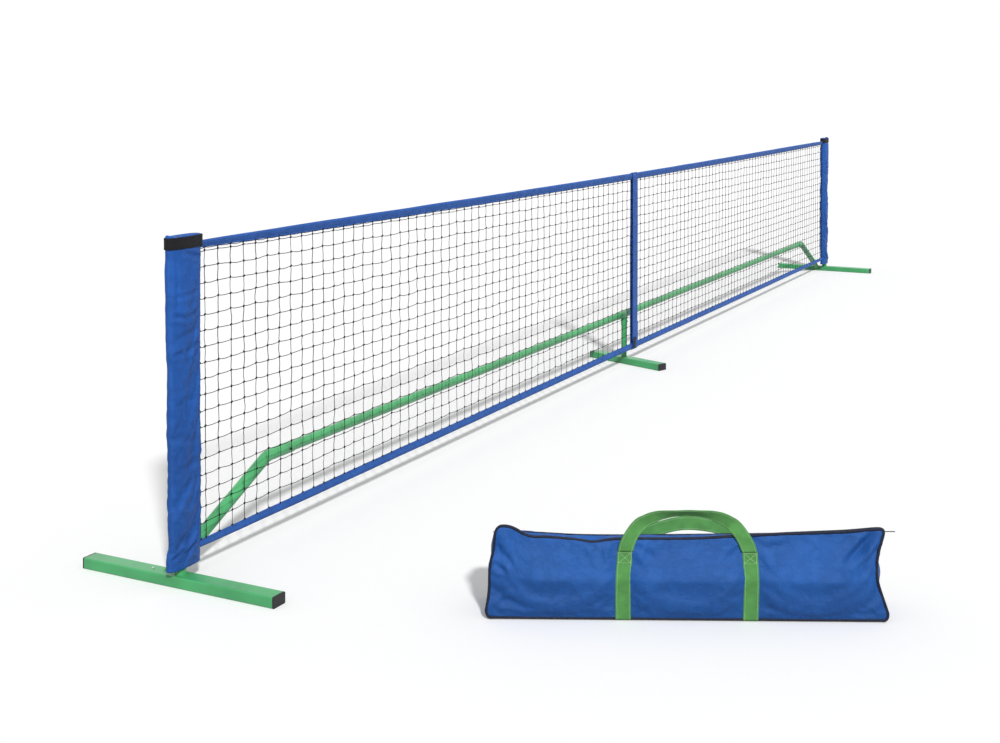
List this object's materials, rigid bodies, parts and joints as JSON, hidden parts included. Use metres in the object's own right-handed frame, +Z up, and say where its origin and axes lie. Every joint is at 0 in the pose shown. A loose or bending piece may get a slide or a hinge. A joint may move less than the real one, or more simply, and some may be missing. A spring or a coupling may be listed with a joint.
{
  "type": "portable court net with carry bag",
  "caption": "Free-standing court net on a jointed tube stand with T feet, fabric post sleeves and a zipped carry bag.",
  "frame": {"origin": "on the floor under the left post, on the underside of the left foot", "axes": "+X along the net from the left post to the right post, +Y to the back of the stand, +Z up"},
  "size_m": [6.799, 2.0141, 0.913],
  "materials": {
    "green_paint": "satin",
    "black_plastic": "matte",
    "button_steel": "satin",
    "blue_fabric": "matte",
    "blue_tape": "matte",
    "black_webbing": "matte",
    "net_cord": "matte",
    "bag_fabric": "matte",
    "bag_piping": "matte",
    "green_webbing": "matte",
    "zip_cloth": "matte",
    "zip_metal": "satin"
  },
  "bodies": {
    "stand": {"foot_left": "green_paint", "foot_left_cap_front": "black_plastic", "foot_left_cap_back": "black_plastic", "post_left_lower": "green_paint", "post_left_upper": "green_paint", "post_left_cap": "black_plastic", "brace_left": "green_paint", "sleeve_left": "blue_fabric", "band_left": "black_webbing", "bar_left_1": "green_paint", "bar_left_2": "green_paint", "bar_left_3": "green_paint", "foot_right": "green_paint", "foot_right_cap_front": "black_plastic", "foot_right_cap_back": "black_plastic", "post_right_lower": "green_paint", "post_right_upper": "green_paint", "post_right_cap": "black_plastic", "brace_right": "green_paint", "sleeve_right": "blue_fabric", "band_right": "black_webbing", "bar_right_1": "green_paint", "bar_right_2": "green_paint", "bar_right_3": "green_paint", "tee": "green_paint", "leg": "green_paint", "net_mesh": "net_cord", "top_tape": "blue_tape", "bottom_tape": "blue_tape", "centre_strap": "blue_tape"},
    "centre_foot": {"centre_foot": "green_paint", "centre_foot_cap_front": "black_plastic", "centre_foot_cap_back": "black_plastic"},
    "centre_foot_button": {"centre_foot_button": "button_steel"},
    "leg_button": {"leg_button": "black_plastic"},
    "foot_left_button": {"foot_left_button": "button_steel"},
    "foot_right_button": {"foot_right_button": "button_steel"},
    "brace_left_button": {"brace_left_button": "black_plastic"},
    "brace_right_button": {"brace_right_button": "black_plastic"},
    "bag": {"bag_front": "bag_fabric", "bag_back": "bag_fabric", "bag_base": "bag_fabric", "bag_end_left": "bag_fabric", "bag_end_right": "bag_fabric", "bag_top_front": "bag_fabric", "bag_top_back": "bag_fabric", "piping_front": "bag_piping", "piping_back": "bag_piping", "zip_tape": "zip_cloth", "webbing_left": "green_webbing", "webbing_right": "green_webbing"},
    "zip_slider": {"zip_slider": "zip_metal"},
    "zip_pull": {"zip_pull": "zip_metal"},
    "handle_front": {"handle_front": "green_webbing"},
    "handle_back": {"handle_back": "green_webbing"}
  },
  "joints": [
    {"name": "centre_foot_swivel", "type": "hinge", "parent": "stand", "child": "centre_foot", "pos_m": [3.17, 0.048, 0.03], "axis": [0, 0, 1], "range_deg": [-70, 110]},
    {"name": "centre_foot_button_press", "type": "slide", "parent": "centre_foot", "child": "centre_foot_button", "axis": [0, 0, -1], "range_m": [0, 0.0035], "stiffness_N_per_m": 600, "springref_m": -0.003},
    {"name": "leg_button_press", "type": "slide", "parent": "stand", "child": "leg_button", "axis": [0, 1, 0], "range_m": [0, 0.0035], "stiffness_N_per_m": 600, "springref_m": -0.003},
    {"name": "foot_left_button_press", "type": "slide", "parent": "stand", "child": "foot_left_button", "axis": [0, 0, -1], "range_m": [0, 0.0035], "stiffness_N_per_m": 600, "springref_m": -0.003},
    {"name": "foot_right_button_press", "type": "slide", "parent": "stand", "child": "foot_right_button", "axis": [0, 0, -1], "range_m": [0, 0.0035], "stiffness_N_per_m": 600, "springref_m": -0.003},
    {"name": "brace_left_button_press", "type": "slide", "parent": "stand", "child": "brace_left_button", "axis": [0, 1, 0], "range_m": [0, 0.0035], "stiffness_N_per_m": 600, "springref_m": -0.003},
    {"name": "brace_right_button_press", "type": "slide", "parent": "stand", "child": "brace_right_button", "axis": [0, 1, 0], "range_m": [0, 0.0035], "stiffness_N_per_m": 600, "springref_m": -0.003},
    {"name": "bag_lift", "type": "slide", "parent": "stand", "child": "bag", "axis": [0, 0, 1], "range_m": [0, 0.4]},
    {"name": "zip_slide", "type": "slide", "parent": "bag", "child": "zip_slider", "axis": [-0.4384, 0.8988, 0], "range_m": [0, 0.93]},
    {"name": "zip_pull_swing", "type": "hinge", "parent": "zip_slider", "child": "zip_pull", "pos_m": [0.61323, -1.6593, 0.21321], "axis": [-0.842, -0.4107, 0.3498], "range_deg": [0, 178]},
    {"name": "handle_front_flop", "type": "hinge", "parent": "bag", "child": "handle_front", "pos_m": [0.36983, -1.2562, 0.1725], "axis": [0.4384, -0.8988, 0], "range_deg": [0, 165]},
    {"name": "handle_back_flop", "type": "hinge", "parent": "bag", "child": "handle_back", "pos_m": [0.51417, -1.1858, 0.1165], "axis": [-0.4384, 0.8988, 0], "range_deg": [0, 165]}
  ]
}
